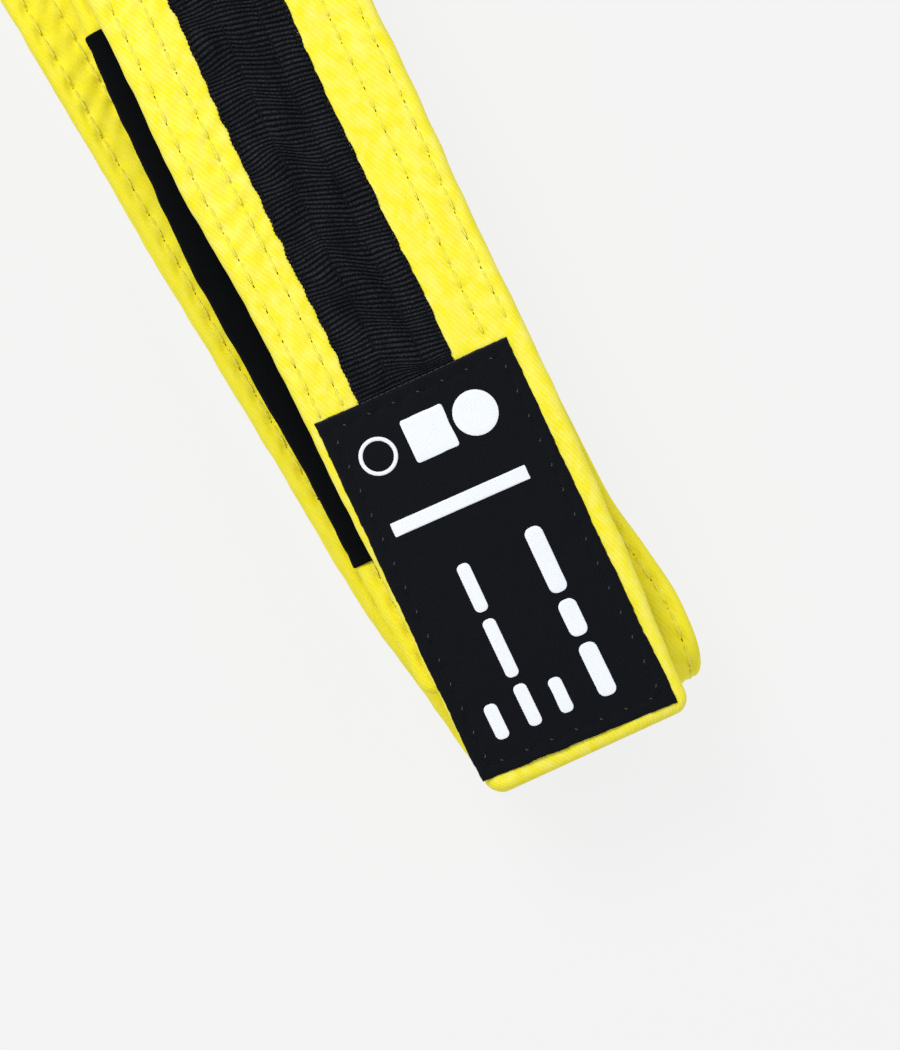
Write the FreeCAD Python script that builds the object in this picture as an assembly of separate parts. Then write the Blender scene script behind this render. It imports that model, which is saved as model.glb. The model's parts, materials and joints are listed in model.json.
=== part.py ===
import FreeCAD, Part
import math
import os

# A children's martial arts belt: a padded cotton strap with a black ribbon down the middle of both
# faces, a label on one end and a rank bar on the other.  It lies folded in six layers: the strap is
# doubled, so that its two ends lie together, and the doubled strap is folded in three.
#
# Layer 1 is on top and layer 6 lies on the floor.  The label strand runs through layers 1, 4 and 5,
# and the rank strand through layers 6, 3 and 2.  +X points to the label end and +Z is up.  The
# origin is on the floor under the middle of the bundle.  Units are millimetres and degrees.

Vector = FreeCAD.Vector
Placement = FreeCAD.Placement
Rotation = FreeCAD.Rotation
ACROSS = Vector(0, 1, 0)
UP = Vector(0, 0, 1)

# The strap
belt_length = 2200.0
belt_width = 40.0
belt_thickness = 4.5            # over the ribbons of both faces
cover_wall = 0.6
core_ply_count = 3
ply_gap = 0.05
ribbon_width = 17.4
ribbon_thickness = 0.4
tip_hem = 3.0                   # solid folded-in cloth at each end of the strap
tip_corner_radius = 2.6

# The stitch rows that run the whole length of the strap
thread_width = 0.5
thread_height = 0.25
ribbon_groove_depth = 0.2
edge_row_inset = 2.6            # from the edge of the strap
second_row_inset = 7.0
ribbon_row_inset = 0.7          # from the edge of the ribbon
middle_row_offset = 3.2         # from the middle of the ribbon

# The way the strap is folded
layer_count = 6
layer_gap = 1.0
body_gap = 0.3                  # between strap sections that move apart
label_overhang = 4.0            # of the label end past the folds under it
rank_layer_yaw = -0.55
middle_layer_yaw = 0.45
base_layer_yaw = 4.2
hinge_clearance = 0.5

# The label
label_length = 65.4
label_side_margin = 2.65
label_end_margin = 3.0
label_sideways = -1.1
label_thickness = 0.5
label_stitch_inset = 2.2
print_thickness = 0.1

# The label's plain print.  Places along the label run from its upper edge to the tip of the strap,
# and places across it run from its middle to the +Y side.
mark_along = 9.2                # the middle of the ring, the square and the disc
ring_across = -10.1
ring_radius = 3.2
ring_line = 0.6
mark_size = 7.4                 # the square's side and the disc's diameter
square_across = -0.9
disc_across = 7.4
bar_along = 20.2
bar_across = -1.0
bar_length = 24.0
bar_width = 2.4
dash_gap = 1.6
dash_width = 2.2
wide_dash_width = 3.0
dash_rows = (                   # (across, start, lengths of the dashes, width)
    (-11.0, 54.0, (6.0,), dash_width),
    (-5.2, 31.0, (8.4, 10.2, 7.2), dash_width),
    (0.4, 54.0, (6.0,), dash_width),
    (7.7, 30.0, (11.4, 6.2, 9.2), wide_dash_width),
)

# The rank bar, a sleeve sewn round the other end
rank_bar_length = 98.0
rank_bar_thickness = 0.4
rank_bar_fit = 0.05
rank_bar_row_inset = 2.5
rank_bar_from_label_tip = 44.6
rank_tip_setback = 20.0         # of the rank end behind the label end

# The parts of the two ends that lift on their own
loose_end_spare = 7.4           # strap past the rank bar
label_lift_spare = 24.0         # strap past the label

# Derived from the driving dimensions above
half_gap = body_gap / 2
half_width = belt_width / 2
half_thickness = belt_thickness / 2
cover_thickness = belt_thickness - 2 * ribbon_thickness
pitch = belt_thickness + layer_gap
inner_fold = 0.5 * pitch
outer_fold = 1.5 * pitch
inner_bend = inner_fold - half_gap
outer_bend = outer_fold - half_gap
fold_reach = outer_fold + half_thickness
label_reach = fold_reach + label_overhang
rank_reach = label_reach - rank_tip_setback
fold_arcs = math.pi * (2 * outer_fold + 3 * inner_fold)
run = (belt_length - fold_arcs - label_reach - rank_reach) / layer_count
label_tip = run + label_reach
rank_tip = run + rank_reach
rank_bar_end = label_tip - rank_bar_from_label_tip
rank_bar_start = rank_bar_end - rank_bar_length
loose_hinge = rank_bar_start - loose_end_spare
label_edge = label_tip - label_end_margin - label_length
label_hinge = label_edge - label_lift_spare
label_width = belt_width - 2 * label_side_margin
cover_rows = (half_width - second_row_inset, half_width - edge_row_inset)
ribbon_rows = (middle_row_offset, ribbon_width / 2 - ribbon_row_inset)
yaw_spread = half_width * math.sin(math.radians(base_layer_yaw))


def layer_height(layer):
    """Height of the middle of a layer above the floor."""
    return half_thickness + (layer_count - layer) * pitch


back_fold_height = (layer_height(4) + layer_height(5)) / 2
front_fold_height = (layer_height(2) + layer_height(3)) / 2
top_of_stack = layer_height(1) + half_thickness

# Flat profiles across the strap: Y runs across it and Z through its thickness.
FRONT = -1
BACK = 1


def stadium_wire(width, height):
    """Outline with flat faces and fully round edges."""
    radius = height / 2
    flat = width / 2 - radius
    top_left = Vector(0, -flat, radius)
    top_right = Vector(0, flat, radius)
    bottom_right = Vector(0, flat, -radius)
    bottom_left = Vector(0, -flat, -radius)
    top = Part.LineSegment(top_left, top_right)
    right = Part.Arc(top_right, Vector(0, width / 2, 0), bottom_right)
    bottom = Part.LineSegment(bottom_right, bottom_left)
    left = Part.Arc(bottom_left, Vector(0, -width / 2, 0), top_left)
    return Part.Wire([curve.toShape() for curve in (top, right, bottom, left)])


def tube_profile(width, height, wall):
    wires = [stadium_wire(width, height), stadium_wire(width - 2 * wall, height - 2 * wall)]
    return Part.makeFace(wires, "Part::FaceMakerBullseye")


def polygon_profile(points):
    corners = [Vector(0, across, through) for across, through in points]
    return Part.Face(Part.makePolygon(corners + corners[:1]))


def strip_profile(middle, width, low, high):
    left = middle - width / 2
    right = middle + width / 2
    return polygon_profile([(left, low), (right, low), (right, high), (left, high)])


def both_sides(distances):
    return sorted([-distance for distance in distances] + list(distances))


def core_profiles():
    cavity = cover_thickness - 2 * cover_wall
    ply = (cavity - (core_ply_count + 1) * ply_gap) / core_ply_count
    width = belt_width - 2 * cover_wall - cavity
    lows = [-cavity / 2 + ply_gap + number * (ply + ply_gap) for number in range(core_ply_count)]
    return [strip_profile(0, width, low, low + ply) for low in lows]


def ribbon_profile(side):
    """Ribbon on one face, with a groove where each row of stitching pulls it in."""
    inside = side * cover_thickness / 2
    outside = side * half_thickness
    groove = outside - side * ribbon_groove_depth
    points = [(-ribbon_width / 2, inside), (-ribbon_width / 2, outside)]
    for row in both_sides(ribbon_rows):
        left = row - thread_width / 2
        right = row + thread_width / 2
        points += [(left, outside), (left, groove), (right, groove), (right, outside)]
    points += [(ribbon_width / 2, outside), (ribbon_width / 2, inside)]
    return polygon_profile(points)


def cover_row_profiles(side):
    low = side * cover_thickness / 2
    high = low + side * thread_height
    return [strip_profile(row, thread_width, low, high) for row in both_sides(cover_rows)]


def ribbon_row_profiles(side):
    high = side * half_thickness
    low = high - side * ribbon_groove_depth
    return [strip_profile(row, thread_width, low, high) for row in both_sides(ribbon_rows)]


# Routes of the strap.  A route starts at (x, z) with a heading, 0 for +X, 90 for down, 180 for -X
# and -90 for up, and goes on in steps that are straight runs or turns about an axis across it.  The
# front face of the strap is on the negative side of a profile's Z, and turns up on a route to -X.


def straight(x_start, x_end, layer):
    heading = 0 if x_end > x_start else 180
    return (x_start, layer_height(layer)), heading, [("run", abs(x_end - x_start))]


def sweep(profile, route):
    """Carry a profile along a route and join the straight and the bent stretches."""
    (x_start, z_start), heading, steps = route
    place = Placement(Vector(x_start, 0, z_start), Rotation(ACROSS, heading))
    stretches = []
    for step in steps:
        face = profile.copy()
        face.Placement = place
        if step[0] == "run":
            travel = place.Rotation.multVec(Vector(step[1], 0, 0))
            stretches.append(face.extrude(travel))
            place = Placement(place.Base + travel, place.Rotation)
        else:
            degrees, radius = step[1:]
            normal = place.Rotation.multVec(UP)
            centre = place.Base - normal * math.copysign(radius, degrees)
            stretches.append(face.revolve(centre, ACROSS, degrees))
            place = Placement(Vector(), Rotation(ACROSS, degrees), centre) * place
    joined = stretches[0]
    for stretch in stretches[1:]:
        joined = joined.fuse(stretch)
    return joined.removeSplitter().Solids[0]


def sweep_all(profiles, *routes):
    return Part.Compound([sweep(profile, route) for route in routes for profile in profiles])


def strap_nodes(section, route):
    """Nodes of a strap section that has no loose tip."""
    nodes = {
        "cover": sweep(tube_profile(belt_width, cover_thickness, cover_wall), route),
        "core": sweep_all(core_profiles(), route),
        "front_ribbon": sweep(ribbon_profile(FRONT), route),
        "back_ribbon": sweep(ribbon_profile(BACK), route),
        "cover_stitching": sweep_all(cover_row_profiles(FRONT) + cover_row_profiles(BACK), route),
        "ribbon_stitching": sweep_all(ribbon_row_profiles(FRONT) + ribbon_row_profiles(BACK), route),
    }
    return {section + "_" + part: shape for part, shape in nodes.items()}


def yawed(nodes, yaw, x_pivot):
    """Turn a layer about a vertical line on the middle of the strap."""
    for shape in nodes.values():
        shape.rotate(Vector(x_pivot, 0, 0), UP, yaw)
    return nodes


def tip_cover(x_tip, x_inside, layer):
    """Cover of a section that ends in a closed tip with rounded corners."""
    inward = math.copysign(1, x_inside - x_tip)
    solid = sweep(Part.Face(stadium_wire(belt_width, cover_thickness)), straight(x_tip, x_inside, layer))
    plan = Part.makeBox(abs(x_inside - x_tip), belt_width, pitch)
    plan.translate(Vector(min(x_tip, x_inside), -half_width, layer_height(layer) - pitch / 2))
    corners = [edge for edge in plan.Edges if is_tip_corner(edge, x_tip)]
    plan = plan.makeFillet(tip_corner_radius, corners)
    inner_width = belt_width - 2 * cover_wall
    cavity_profile = Part.Face(stadium_wire(inner_width, cover_thickness - 2 * cover_wall))
    cavity = sweep(cavity_profile, straight(x_tip + inward * tip_hem, x_inside, layer))
    return solid.common(plan).cut(cavity).Solids[0]


def is_tip_corner(edge, x_tip):
    box = edge.BoundBox
    return box.ZLength > half_thickness and abs(box.XMin - x_tip) < half_gap


def label_end_nodes():
    """The end under the label: its front ribbon and rows stop where the label starts."""
    inside = label_hinge + half_gap
    hem = label_tip - tip_hem
    hemmed = straight(hem, inside, 1)
    under_label = straight(label_edge, inside, 1)
    cover_rows_front = sweep_all(cover_row_profiles(FRONT), under_label)
    cover_rows_back = sweep_all(cover_row_profiles(BACK), hemmed)
    ribbon_rows_front = sweep_all(ribbon_row_profiles(FRONT), under_label)
    ribbon_rows_back = sweep_all(ribbon_row_profiles(BACK), hemmed)
    return {
        "label_end_cover": tip_cover(label_tip, inside, 1),
        "label_end_core": sweep_all(core_profiles(), hemmed),
        "label_end_front_ribbon": sweep(ribbon_profile(FRONT), under_label),
        "label_end_back_ribbon": sweep(ribbon_profile(BACK), hemmed),
        "label_end_cover_stitching": Part.Compound(cover_rows_front.Solids + cover_rows_back.Solids),
        "label_end_ribbon_stitching": Part.Compound(ribbon_rows_front.Solids + ribbon_rows_back.Solids),
    }


def rank_end_nodes():
    """The loose end of the rank strand, with its sleeve-shaped bar."""
    section = "loose_rank_strand"
    inside = loose_hinge + half_gap
    nodes = strap_nodes(section, straight(inside, rank_tip - tip_hem, 2))
    nodes[section + "_cover"] = tip_cover(rank_tip, inside, 2)
    nodes["rank_bar"] = rank_bar()
    nodes["rank_bar_stitching"] = rank_bar_stitching()
    nodes["rank_tip_stitching"] = rank_tip_stitching()
    return yawed(nodes, rank_layer_yaw, 0)


def rank_bar():
    wall = rank_bar_thickness
    width = belt_width + 2 * (rank_bar_fit + wall)
    height = belt_thickness + 2 * (rank_bar_fit + wall)
    return sweep(tube_profile(width, height, wall), straight(rank_bar_start, rank_bar_end, 2))


def cross_rows(x_row, surface, length):
    """A row of stitching across the strap, on both faces."""
    rows = []
    for low in (layer_height(2) + surface, layer_height(2) - surface - ribbon_groove_depth):
        row = Part.makeBox(thread_width, length, ribbon_groove_depth)
        row.translate(Vector(x_row - thread_width / 2, -length / 2, low))
        rows.append(row)
    return rows


def rank_bar_stitching():
    surface = half_thickness + rank_bar_fit + rank_bar_thickness
    length = belt_width - 2 * edge_row_inset
    near = cross_rows(rank_bar_start + rank_bar_row_inset, surface, length)
    far = cross_rows(rank_bar_end - rank_bar_row_inset, surface, length)
    return Part.Compound(near + far)


def rank_tip_stitching():
    length = belt_width - 2 * edge_row_inset
    return Part.Compound(cross_rows(rank_tip - tip_hem / 2, cover_thickness / 2, length))


label_surface = layer_height(1) + cover_thickness / 2 + label_thickness


def label_plate(x_start, length, width, low, thickness, sideways=0.0):
    plate = Part.makeBox(length, width, thickness)
    plate.translate(Vector(x_start, label_sideways + sideways - width / 2, low))
    return plate


def label():
    return label_plate(label_edge, label_length, label_width, label_surface - label_thickness, label_thickness)


def label_stitching():
    """One closed row of stitching round the label, inside its edge."""
    start = label_edge + label_stitch_inset
    length = label_length - 2 * label_stitch_inset
    width = label_width - 2 * label_stitch_inset
    height = ribbon_groove_depth
    outside = label_plate(start, length, width, label_surface, height)
    inside_length = length - 2 * thread_width
    inside_width = width - 2 * thread_width
    inside = label_plate(start + thread_width, inside_length, inside_width, label_surface, height)
    return outside.cut(inside)


def disc(along, sideways, radius):
    centre = Vector(label_edge + along, label_sideways + sideways, label_surface)
    return Part.makeCylinder(radius, print_thickness, centre)


def print_block(along, sideways, length, width):
    return label_plate(label_edge + along, length, width, label_surface, print_thickness, sideways)


def dash_row(sideways, start, dash_lengths, width):
    dashes = []
    for length in dash_lengths:
        dashes.append(print_block(start, sideways, length, width))
        start += length + dash_gap
    return dashes


def label_print():
    """A ring, a square and a disc, one cross bar and rows of dashes, all plain shapes."""
    ring_hole = disc(mark_along, ring_across, ring_radius - ring_line)
    ring = disc(mark_along, ring_across, ring_radius).cut(ring_hole)
    square = print_block(mark_along - mark_size / 2, square_across, mark_size, mark_size)
    spot = disc(mark_along, disc_across, mark_size / 2)
    bar = print_block(bar_along, bar_across, bar_width, bar_length)
    dashes = []
    for row in dash_rows:
        dashes += dash_row(*row)
    return Part.Compound([ring, square, spot, bar] + dashes)


def strand_routes():
    """Route, yaw and pivot of every strap section between the two loose ends, tip to tip."""
    up = -90
    down = 90
    to_label = 180
    doubled_back = ("turn", -90, outer_bend)
    folded_under = ("turn", 90, inner_bend)
    base = [folded_under, ("run", run), ("turn", -180, inner_fold), ("run", run), doubled_back]
    middle = [doubled_back, ("run", run), folded_under]
    front_label = [("run", loose_hinge - half_gap), doubled_back]
    front_rank = [folded_under, ("run", loose_hinge - half_gap)]
    front_label_start = (loose_hinge - half_gap, layer_height(1))
    middle_label_start = (-outer_bend, front_fold_height - half_gap)
    base_start = (run + inner_bend, back_fold_height - half_gap)
    middle_rank_start = (run + outer_bend, back_fold_height + half_gap)
    front_rank_start = (-inner_bend, front_fold_height + half_gap)
    return {
        "loose_label_strand": (straight(label_hinge - half_gap, loose_hinge + half_gap, 1), 0, 0),
        "front_label_strand": ((front_label_start, to_label, front_label), 0, 0),
        "middle_label_strand": ((middle_label_start, down, middle), middle_layer_yaw, 0),
        "base_fold": ((base_start, down, base), base_layer_yaw, run),
        "middle_rank_strand": ((middle_rank_start, up, middle), middle_layer_yaw, 0),
        "front_rank_strand": ((front_rank_start, up, front_rank), rank_layer_yaw, 0),
    }


def all_nodes():
    nodes = label_end_nodes()
    nodes.update({"label": label(), "label_stitching": label_stitching(), "label_print": label_print()})
    for section, (route, yaw, x_pivot) in strand_routes().items():
        nodes.update(yawed(strap_nodes(section, route), yaw, x_pivot))
    nodes.update(rank_end_nodes())
    return nodes


def hinge_lines():
    """Where each joint turns, as (x, z) before the bundle is centred."""
    return {
        "back_fold_hinge": (run + fold_reach + yaw_spread + hinge_clearance, back_fold_height),
        "front_fold_hinge": (-fold_reach - hinge_clearance, front_fold_height),
        "loose_ends_lift": (loose_hinge, top_of_stack),
        "label_end_lift": (label_hinge, top_of_stack),
    }


def main():
    nodes = all_nodes()
    bounds = Part.Compound(list(nodes.values())).optimalBoundingBox(False, False)
    to_centre = Vector(-bounds.Center.x, -bounds.Center.y, 0)
    os.makedirs("parts", exist_ok=True)
    for name, shape in nodes.items():
        shape.translate(to_centre)
        shape.exportStep("parts/" + name + ".step")
    for name, (x, z) in hinge_lines().items():
        print(name, "x", round(x + to_centre.x, 3), "y", round(to_centre.y, 3), "z", round(z, 3))


main()
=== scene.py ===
import bpy
import json
import math
import numpy as np
from mathutils import Matrix, Vector


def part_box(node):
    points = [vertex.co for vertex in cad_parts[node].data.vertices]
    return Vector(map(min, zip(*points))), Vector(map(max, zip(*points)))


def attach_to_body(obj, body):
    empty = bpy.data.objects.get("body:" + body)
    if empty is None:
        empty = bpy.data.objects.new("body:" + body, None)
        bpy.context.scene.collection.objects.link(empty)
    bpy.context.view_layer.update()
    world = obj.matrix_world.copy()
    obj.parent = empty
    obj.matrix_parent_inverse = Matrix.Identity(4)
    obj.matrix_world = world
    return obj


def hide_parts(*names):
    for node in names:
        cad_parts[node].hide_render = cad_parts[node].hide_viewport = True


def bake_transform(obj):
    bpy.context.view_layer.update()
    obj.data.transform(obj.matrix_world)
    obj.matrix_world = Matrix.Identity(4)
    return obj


# Looks of a folded martial arts belt: a quilted yellow twill strap with a ribbed black ribbon down the
# middle of both faces, a label on one end and a rank bar on the other.
#
# The strap is one run of cloth.  A place on it is given by three numbers in millimetres: how far along
# the strap from the label tip, how far across it (towards +Y) and how far through it (positive on the
# face with the label).  place() carries such places to the frame, in metres.

MM = 0.001
FRONT = 1
BACK = -1

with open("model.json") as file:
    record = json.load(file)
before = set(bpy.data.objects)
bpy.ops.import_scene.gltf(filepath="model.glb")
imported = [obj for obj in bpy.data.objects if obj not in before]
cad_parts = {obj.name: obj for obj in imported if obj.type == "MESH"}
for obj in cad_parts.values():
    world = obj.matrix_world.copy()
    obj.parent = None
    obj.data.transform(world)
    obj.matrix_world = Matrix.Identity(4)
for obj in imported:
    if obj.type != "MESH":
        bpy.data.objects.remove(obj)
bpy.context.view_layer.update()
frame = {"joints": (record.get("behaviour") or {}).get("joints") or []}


def low(node):
    return np.array(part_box(node)[0]) / MM


def high(node):
    return np.array(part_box(node)[1]) / MM


def middle(node):
    return (low(node) + high(node)) / 2


def joint_place(name):
    joint = next(joint for joint in frame["joints"] if joint["name"] == name)
    return np.array(joint["pos_m"]) / MM


# The strap
belt_width = 40.0
cover_thickness = 3.7
ribbon_width = 17.4
ribbon_rise = 0.4  # over the cover
label_rise = 0.5
tip_hem = 3.0
tip_corner = 3.2
rank_bar_length = 98.0
body_gap = 0.3  # between the CAD's strap sections at a joint

# The way it is folded, with the turn of each layer in degrees
label_overhang = 4.0  # of the label end past the folds under it
rank_layer_yaw = -0.55
middle_layer_yaw = 0.45
base_layer_yaw = 4.2
fold_ease = 5.0  # either side of a fold, over which the strap turns to its next layer

# Stitch rows, as distances from the middle of the strap
inner_row = 13.0
outer_row = 17.4
ribbon_edge_row = 8.0
ribbon_middle_row = 3.2
ribbon_row_drift = 0.7  # of the two middle rows, towards +Y
inner_pitch = 4.1
outer_pitch = 5.0

# Places taken from the frame
half_width = belt_width / 2
cover_face = cover_thickness / 2
ribbon_face = cover_face + ribbon_rise
label_face = cover_face + label_rise
strap_y = middle("label_end_cover")[1]
tip_x = high("label_end_cover")[0]
top_height = middle("label_end_cover")[2]
layer_pitch = top_height - middle("loose_rank_strand_cover")[2]
inner_radius = layer_pitch / 2
outer_radius = 3 * inner_radius
near_fold_x = tip_x - label_overhang - ribbon_face - outer_radius
far_fold_x = low("front_label_strand_cover")[0] + cover_face + outer_radius - body_gap / 2
rank_tip_x = high("loose_rank_strand_cover")[0]
label_hinge_x = joint_place("label_end_lift")[0]
loose_hinge_x = joint_place("loose_ends_lift")[0]


def layer_height(layer):
    return top_height - (layer - 1) * layer_pitch


# The strap's path is a chain of legs: runs along the layers, joined by folds.
run_layers = [1, 4, 5, 6, 3, 2]
fold_turns = [1, -1, 1, 1, -1]  # the way each fold turns, seen from -Y
layer_yaw = [0.0, rank_layer_yaw, middle_layer_yaw, middle_layer_yaw, base_layer_yaw, base_layer_yaw]


def strap_legs():
    """Rows of (start, x, z, heading, curvature), one for each run and each fold."""
    rows = []
    start = 0.0
    x = tip_x
    heading = math.pi
    for number, layer in enumerate(run_layers):
        rows.append((start, x, layer_height(layer), heading, 0.0))
        goal = far_fold_x if number % 2 == 0 else near_fold_x
        if number == len(run_layers) - 1:
            goal = rank_tip_x
        start += abs(goal - x)
        x = goal
        if number < len(fold_turns):
            turn = fold_turns[number]
            radius = abs(layer_height(layer) - layer_height(run_layers[number + 1])) / 2
            rows.append((start, x, layer_height(layer), heading, turn / radius))
            start += math.pi * radius
            heading += turn * math.pi
    return np.array(rows), start


legs, strap_length = strap_legs()
fold_starts = legs[1::2, 0]
fold_ends = legs[2::2, 0]
inner_folds = [1, 2, 4]


def station(layer, x):
    """How far along the strap the place at x in a layer is."""
    start, leg_x, _, heading, _ = legs[2 * run_layers.index(layer)]
    return start + (x - leg_x) * math.cos(heading)


def ease(value):
    held = np.clip(value, 0.0, 1.0)
    return held * held * (3 - 2 * held)


# Where the cloth lies a little beside its layer's straight line: (x, distance towards +Y)
upper_marks = [(30, 0.0), (110, -1.6), (148, -1.6), (near_fold_x - 2, 1.3)]
lower_marks = [(near_fold_x, 0.8), (148, -1.2), (100, -1.6)]
rank_marks = [(10, 0.0), (80, -2.0), (140, 0.6), (rank_tip_x, 1.6)]
layer_marks = [(1, [(tip_x, -1.6), (tip_x - 90, 0.0)]), (4, upper_marks), (5, lower_marks)]
layer_marks += [(6, lower_marks[::-1]), (3, upper_marks[::-1]), (2, rank_marks)]
stray_marks = [(station(layer, x), value) for layer, marks in layer_marks for x, value in marks]

# The folds at the label end reach further on their +Y side
lobe_reach = 1.9
lobe_start = 30.0  # before the fold
lobe_growth = 40.0  # along the layer, over which the reach grows
folded_layers = (3, 4, 5, 6)


def hump(distance, width):
    """1 at no distance, falling smoothly to 0 on both sides."""
    return np.exp(-((distance / width) ** 2))


def follow_marks(along, marks):
    """Smooth curve through marks, each a place and its value, level past the last one."""
    places, values = np.transpose(marks)
    number = np.clip(np.searchsorted(places, along) - 1, 0, len(places) - 2)
    share = (along - places[number]) / (places[number + 1] - places[number])
    return values[number] + ease(share) * (values[number + 1] - values[number])


def place(along, across, through):
    """Points in metres for places on the strap."""
    along, across, through = np.broadcast_arrays(along, across, through)
    leg = np.clip(np.searchsorted(legs[:, 0], along, side="right") - 1, 0, len(legs) - 1)
    start, leg_x, leg_z, leg_heading, curvature = legs[leg].transpose((-1, *range(along.ndim)))
    travelled = along - start
    heading = leg_heading + curvature * travelled
    bent = np.where(curvature == 0, 1.0, curvature)
    bent_x = (np.sin(heading) - np.sin(leg_heading)) / bent
    bent_z = (np.cos(leg_heading) - np.cos(heading)) / bent
    x = leg_x + np.where(curvature == 0, travelled * np.cos(leg_heading), bent_x)
    z = leg_z + np.where(curvature == 0, 0.0, bent_z)
    x = x + through * np.sin(heading)
    z = z - through * np.cos(heading)
    folds = zip(fold_starts, fold_ends)
    passed = [ease((along - first + fold_ease) / (last - first + 2 * fold_ease)) for first, last in folds]
    passed = [1.0, *passed, 0.0]
    near_lobe = ease((x - near_fold_x + lobe_start) / lobe_growth) * ease(0.5 + across / belt_width)
    turned_x = 0.0
    turned_y = 0.0
    for number, layer in enumerate(run_layers):
        share = passed[number] - passed[number + 1]
        yaw = math.radians(layer_yaw[layer - 1])
        pivot = near_fold_x if layer in (5, 6) else far_fold_x
        skewed = lobe_reach * near_lobe if layer in folded_layers else 0.0
        layer_x = pivot + (x - pivot) * math.cos(yaw) - across * math.sin(yaw) + skewed
        layer_y = strap_y + (x - pivot) * math.sin(yaw) + across * math.cos(yaw)
        turned_x = turned_x + share * layer_x
        turned_y = turned_y + share * layer_y
    turned_y = turned_y + follow_marks(along, stray_marks)
    return np.stack([turned_x, turned_y, z], axis=-1) * MM


# Smooth random shapes, each the sum of a few waves


def ripple(along, wavelength, seed):
    random = np.random.default_rng(seed)
    total = np.zeros(np.shape(along))
    for _ in range(4):
        stretch = wavelength * random.uniform(0.6, 1.8)
        total = total + np.sin(2 * np.pi * (along / stretch + random.random()))
    return total / 2.5


def mottle(along, across, wavelength, seed):
    random = np.random.default_rng(seed)
    total = np.zeros(np.broadcast(along, across).shape)
    for _ in range(7):
        stretch = wavelength * random.uniform(0.6, 1.8)
        angle = random.uniform(0, np.pi)
        travelled = along * np.cos(angle) + across * np.sin(angle)
        total = total + np.sin(2 * np.pi * (travelled / stretch + random.random()))
    return total / 3.5


# Mesh building


def grid_faces(rings, count, around=True, closed=False):
    """Quads over rings of points.  around joins each ring's ends, closed the last ring to the first."""
    index = np.arange(rings * count).reshape(rings, count)
    index = np.vstack([index, index[:1]]) if closed else index
    index = np.hstack([index, index[:, :1]]) if around else index
    corners = [index[:-1, :-1], index[:-1, 1:], index[1:, 1:], index[1:, :-1]]
    return np.stack(corners, axis=-1).reshape(-1, 4)


def fan_faces(ring, centre):
    """Triangles from a ring to a point in its middle."""
    return np.stack([ring, np.roll(ring, -1), np.full(ring.shape, centre)], axis=-1)


def pair(first, second):
    """Texture places, in millimetres along and round the cloth."""
    return np.stack(np.broadcast_arrays(first, second), axis=-1)


class Shape:
    """Points, texture places and faces of one piece, gathered part by part."""

    def __init__(self):
        self.parts = []
        self.count = 0
        self.flat_caps = False

    def add(self, points, textures, quads, triangles=np.zeros((0, 3), int), finish=0):
        points = points.reshape(-1, 3)
        quads = quads.reshape(-1, 4) + self.count
        triangles = triangles.reshape(-1, 3) + self.count
        finishes = [np.full(len(faces), finish) for faces in (quads, triangles)]
        self.parts.append((points, textures.reshape(-1, 2), quads, triangles, *finishes))
        self.count += len(points)

    def build(self, name, *materials):
        points, textures, quads, triangles, *finishes = map(np.concatenate, zip(*self.parts))
        loops = np.concatenate([quads.ravel(), triangles.ravel()])
        triangle_starts = len(quads) * 4 + np.arange(len(triangles)) * 3
        starts = np.concatenate([np.arange(len(quads)) * 4, triangle_starts])
        mesh = bpy.data.meshes.new(name)
        mesh.vertices.add(len(points))
        mesh.vertices.foreach_set("co", points.astype(np.float32).ravel())
        mesh.loops.add(len(loops))
        mesh.loops.foreach_set("vertex_index", loops.astype(np.int32))
        mesh.polygons.add(len(starts))
        mesh.polygons.foreach_set("loop_start", starts.astype(np.int32))
        mesh.polygons.foreach_set("material_index", np.concatenate(finishes).astype(np.int32))
        smooth = np.ones(len(starts), bool)
        smooth[len(quads):] = not self.flat_caps
        mesh.polygons.foreach_set("use_smooth", smooth)
        layer = mesh.uv_layers.new(name="Cloth")
        layer.data.foreach_set("uv", textures[loops].astype(np.float32).ravel())
        mesh.update(calc_edges=True)
        for material in materials:
            mesh.materials.append(material)
        piece = bpy.data.objects.new(name, mesh)
        bpy.context.scene.collection.objects.link(piece)
        return piece


def wall_faces(ring, feet):
    """Triangles of the wall between a ring and the ring at its foot."""
    next_ring, next_feet = np.roll([ring, feet], -1, axis=1)
    upper = np.stack([ring, next_ring, next_feet], axis=-1)
    lower = np.stack([ring, next_feet, feet], axis=-1)
    return np.concatenate([upper, lower])


def add_closed_tube(shape, points, textures, feet=None):
    """Rings of points, capped at both ends.  feet are two rings at the foot of a wall at each end."""
    rings, count = points.shape[:2]
    feet = points[[0, -1]] if feet is None else feet
    shape.flat_caps = True
    triangles = []
    for number, (ring, order) in enumerate([(0, np.arange(count)[::-1]), (rings - 1, np.arange(count))]):
        foot = (rings + number) * count + order
        triangles.append(wall_faces(ring * count + order, foot))
        triangles.append(fan_faces(foot, (rings + 2) * count + number))
    ends = textures[[0, -1]]
    points = np.concatenate([points.reshape(-1, 3), feet.reshape(-1, 3), feet.mean(1)])
    textures = np.concatenate([textures.reshape(-1, 2), ends.reshape(-1, 2), ends.mean(1)])
    shape.add(points, textures, grid_faces(rings, count), np.concatenate(triangles))


# Materials


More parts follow.
